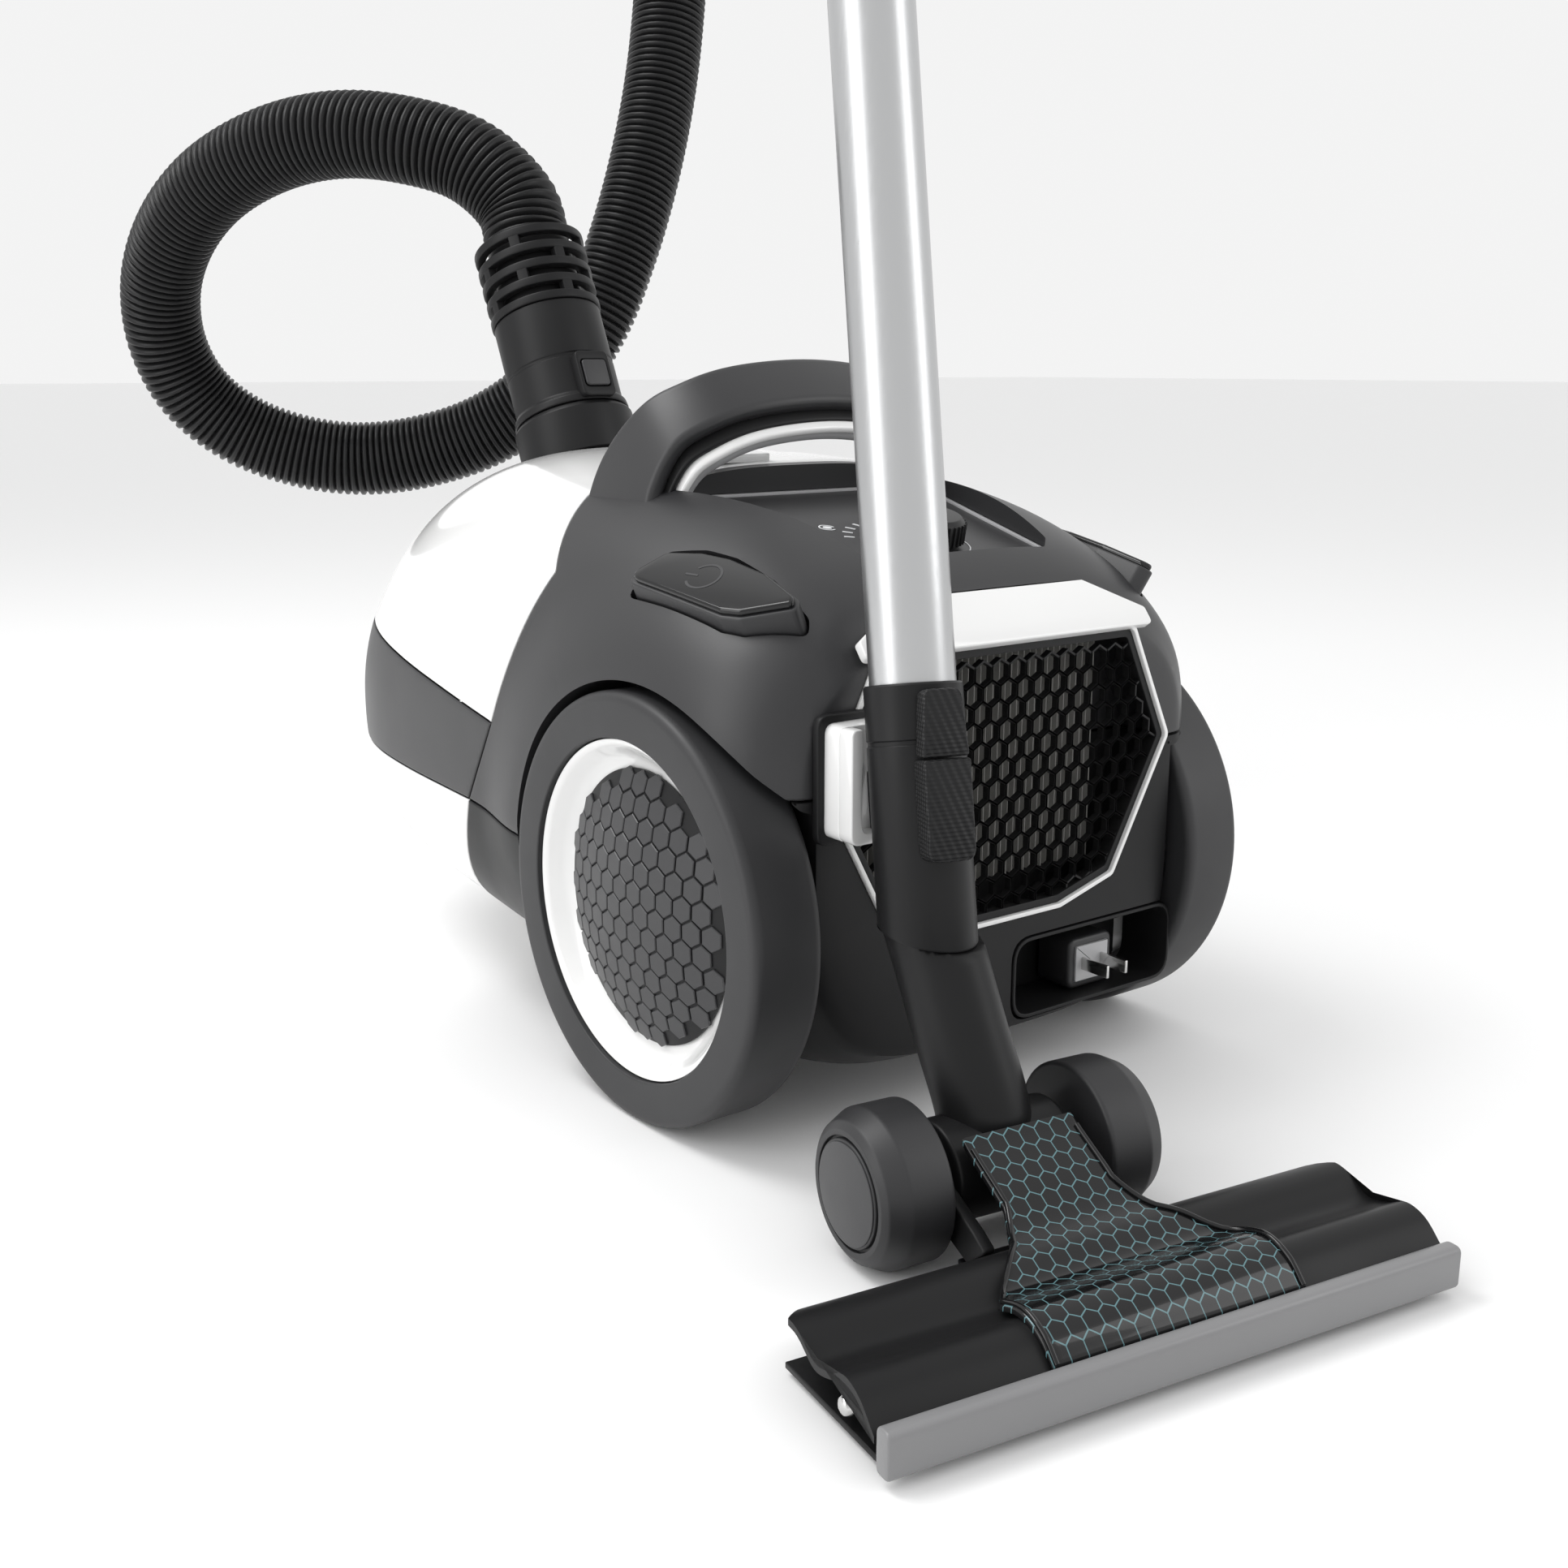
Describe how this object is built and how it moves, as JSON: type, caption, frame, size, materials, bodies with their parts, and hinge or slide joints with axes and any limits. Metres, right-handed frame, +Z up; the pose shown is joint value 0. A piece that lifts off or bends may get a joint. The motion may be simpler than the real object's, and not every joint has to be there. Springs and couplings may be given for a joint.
{
  "type": "canister vacuum cleaner",
  "caption": "Canister vacuum cleaner with large rear wheels, ribbed hose, telescopic wand parked at the back and a jointed floor head with rollers.",
  "frame": {"origin": "middle of the bounding box without the hose, on the floor", "axes": "+Z up, +Y to the canister's nose, +X to its right side; the floor head points to -Y"},
  "size_m": [0.479, 0.9588, 0.9333],
  "materials": {
    "rear_housing": "satin dark grey",
    "lower_shell": "black",
    "front_lower_shell": "white, polished",
    "nose_band": "satin dark grey",
    "control_deck": "satin dark grey",
    "exhaust_grille": "black",
    "grille_trim": "white, polished",
    "grille_top_trim": "white, polished",
    "exhaust_filter": "non-woven filter",
    "park_dock": "white, polished",
    "carry_handle": "satin dark grey",
    "handle_liner": "white, polished",
    "axle_left": "bright",
    "axle_right": "bright",
    "motor_housing": "black",
    "dust_bag": "non-woven filter",
    "mains_plug": "light grey",
    "dust_lid": "white, polished",
    "inlet_ring": "black",
    "hose_cuff": "black",
    "hose_loop": "soft rubber",
    "lid_latch": "white, polished",
    "hose_collar": "black",
    "cuff_button": "black",
    "speed_dial": "black",
    "power_pedal": "black, polished",
    "rewind_pedal": "black, polished",
    "tyre_left": "dark grey rubber",
    "rim_left": "white, polished",
    "hub_cap_left": "black",
    "tyre_right": "dark grey rubber",
    "rim_right": "white, polished",
    "hub_cap_right": "black",
    "caster_fork": "black",
    "caster_wheel": "soft rubber",
    "fan_impeller": "light grey",
    "cord_reel": "black",
    "wound_cord": "soft rubber",
    "wand_cuff": "black",
    "lower_tube": "satin anodised",
    "telescope_clamp": "black",
    "hose_riser": "soft rubber",
    "latch_button": "black",
    "slider_button": "light grey",
    "upper_tube": "satin anodised",
    "hand_grip": "black",
    "hose_arc": "soft rubber",
    "suction_slider": "light grey",
    "grip_collar": "black",
    "elbow": "black",
    "head_cover": "black, polished",
    "head_neck": "black",
    "head_shell": "black",
    "bumper_strip": "light grey",
    "sole_plate": "black",
    "roller_axle": "bright",
    "glide_axle": "bright",
    "roller_left": "soft rubber",
    "roller_right": "soft rubber"
  },
  "bodies": {
    "chassis": {"rear_housing": "rear_housing", "lower_shell": "lower_shell", "front_lower_shell": "front_lower_shell", "nose_band": "nose_band", "control_deck": "control_deck", "exhaust_grille": "exhaust_grille", "grille_trim": "grille_trim", "grille_top_trim": "grille_top_trim", "exhaust_filter": "exhaust_filter", "park_dock": "park_dock", "carry_handle": "carry_handle", "handle_liner": "handle_liner", "axle_left": "axle_left", "axle_right": "axle_right", "motor_housing": "motor_housing", "dust_bag": "dust_bag", "mains_plug": "mains_plug"},
    "lid": {"dust_lid": "dust_lid", "inlet_ring": "inlet_ring", "hose_cuff": "hose_cuff", "hose_loop": "hose_loop"},
    "lid_latch": {"lid_latch": "lid_latch"},
    "hose_collar": {"hose_collar": "hose_collar"},
    "cuff_button": {"cuff_button": "cuff_button"},
    "dial": {"speed_dial": "speed_dial"},
    "power_pedal": {"power_pedal": "power_pedal"},
    "rewind_pedal": {"rewind_pedal": "rewind_pedal"},
    "wheel_left": {"tyre_left": "tyre_left", "rim_left": "rim_left", "hub_cap_left": "hub_cap_left"},
    "wheel_right": {"tyre_right": "tyre_right", "rim_right": "rim_right", "hub_cap_right": "hub_cap_right"},
    "caster": {"caster_fork": "caster_fork"},
    "caster_wheel": {"caster_wheel": "caster_wheel"},
    "fan": {"fan_impeller": "fan_impeller"},
    "reel": {"cord_reel": "cord_reel", "wound_cord": "wound_cord"},
    "wand": {"wand_cuff": "wand_cuff", "lower_tube": "lower_tube", "telescope_clamp": "telescope_clamp", "hose_riser": "hose_riser"},
    "wand_latch": {"latch_button": "latch_button"},
    "telescope_button": {"slider_button": "slider_button"},
    "upper_wand": {"upper_tube": "upper_tube", "hand_grip": "hand_grip", "hose_arc": "hose_arc"},
    "suction_slider": {"suction_slider": "suction_slider"},
    "grip_collar": {"grip_collar": "grip_collar"},
    "elbow": {"elbow": "elbow"},
    "head": {"head_cover": "head_cover", "head_neck": "head_neck", "head_shell": "head_shell", "bumper_strip": "bumper_strip", "sole_plate": "sole_plate", "roller_axle": "roller_axle", "glide_axle": "glide_axle"},
    "roller_left": {"roller_left": "roller_left"},
    "roller_right": {"roller_right": "roller_right"}
  },
  "joints": [
    {"name": "lid_hinge", "type": "hinge", "parent": "chassis", "child": "lid", "pos_m": [0.04314, 0.35535, 0.201], "axis": [-1, 0, 0], "range_deg": [0, 50], "deforming": ["hose_loop"]},
    {"name": "lid_latch_press", "type": "slide", "parent": "chassis", "child": "lid_latch", "axis": [0, -1, 0], "range_m": [0, 0.003], "stiffness_N_per_m": 300, "springref_m": -0.001},
    {"name": "hose_swivel", "type": "hinge", "parent": "lid", "child": "hose_collar", "pos_m": [0.04314, 0.24335, 0.292], "axis": [0, 0.4202, 0.9074], "continuous": true},
    {"name": "cuff_button_press", "type": "slide", "parent": "lid", "child": "cuff_button", "axis": [0, 0.9074, -0.4202], "range_m": [0, 0.003], "stiffness_N_per_m": 300, "springref_m": -0.001},
    {"name": "dial_turn", "type": "hinge", "parent": "chassis", "child": "dial", "pos_m": [0.04314, -0.06331, 0.25876], "axis": [0, -0.1931, 0.9812], "range_deg": [-135, 135]},
    {"name": "power_pedal_press", "type": "slide", "parent": "chassis", "child": "power_pedal", "axis": [0.4752, 0.1751, -0.8623], "range_m": [0, 0.004], "stiffness_N_per_m": 1500, "springref_m": -0.002},
    {"name": "rewind_pedal_press", "type": "slide", "parent": "chassis", "child": "rewind_pedal", "axis": [-0.4752, 0.1751, -0.8623], "range_m": [0, 0.004], "stiffness_N_per_m": 1500, "springref_m": -0.002},
    {"name": "wheel_left_spin", "type": "hinge", "parent": "chassis", "child": "wheel_left", "pos_m": [0.04314, -0.04165, 0.1], "axis": [1, 0, 0], "continuous": true},
    {"name": "wheel_right_spin", "type": "hinge", "parent": "chassis", "child": "wheel_right", "pos_m": [0.04314, -0.04165, 0.1], "axis": [1, 0, 0], "continuous": true},
    {"name": "caster_swivel", "type": "hinge", "parent": "chassis", "child": "caster", "pos_m": [0.04314, 0.25835, 0.05], "axis": [0, 0, 1], "continuous": true},
    {"name": "caster_roll", "type": "hinge", "parent": "caster", "child": "caster_wheel", "pos_m": [0.04314, 0.24635, 0.017], "axis": [1, 0, 0], "continuous": true},
    {"name": "fan_spin", "type": "hinge", "parent": "chassis", "child": "fan", "pos_m": [0.04314, 0.03735, 0.185], "axis": [0, 1, 0], "continuous": true},
    {"name": "reel_turn", "type": "hinge", "parent": "chassis", "child": "reel", "pos_m": [0.04314, -0.00765, 0.075], "axis": [0, 0, 1], "continuous": true},
    {"name": "wand_lift", "type": "slide", "parent": "chassis", "child": "wand", "axis": [0, 0, 1], "range_m": [0, 0.06], "deforming": ["hose_loop", "hose_riser"]},
    {"name": "wand_latch_slide", "type": "slide", "parent": "wand", "child": "wand_latch", "axis": [0.075, 0.2021, 0.9765], "range_m": [0, 0.004], "stiffness_N_per_m": 300, "springref_m": -0.003},
    {"name": "telescope_button_slide", "type": "slide", "parent": "wand", "child": "telescope_button", "axis": [-0.075, -0.2021, -0.9765], "range_m": [0, 0.006], "stiffness_N_per_m": 300, "springref_m": -0.003},
    {"name": "telescope", "type": "slide", "parent": "wand", "child": "upper_wand", "axis": [0.075, 0.2021, 0.9765], "range_m": [0, 0.28], "deforming": ["hose_riser", "hose_arc"]},
    {"name": "suction_slide", "type": "slide", "parent": "upper_wand", "child": "suction_slider", "axis": [0.075, 0.2021, 0.9765], "range_m": [0, 0.009]},
    {"name": "grip_swivel", "type": "hinge", "parent": "upper_wand", "child": "grip_collar", "pos_m": [-0.00248, 0.04296, 0.81798], "axis": [0.0378, 0.9119, 0.4086], "continuous": true},
    {"name": "elbow_turn", "type": "hinge", "parent": "wand", "child": "elbow", "pos_m": [-0.05691, -0.18765, 0.11821], "axis": [0.0736, -0.1162, 0.9905], "range_deg": [-25, 25]},
    {"name": "head_pitch", "type": "hinge", "parent": "elbow", "child": "head", "pos_m": [-0.05186, -0.22165, 0.032], "axis": [0.9877, -0.1564, 0], "range_deg": [0, 60]},
    {"name": "roller_left_spin", "type": "hinge", "parent": "head", "child": "roller_left", "pos_m": [-0.05186, -0.22165, 0.032], "axis": [0.9877, -0.1564, 0], "continuous": true},
    {"name": "roller_right_spin", "type": "hinge", "parent": "head", "child": "roller_right", "pos_m": [-0.05186, -0.22165, 0.032], "axis": [0.9877, -0.1564, 0], "continuous": true}
  ]
}
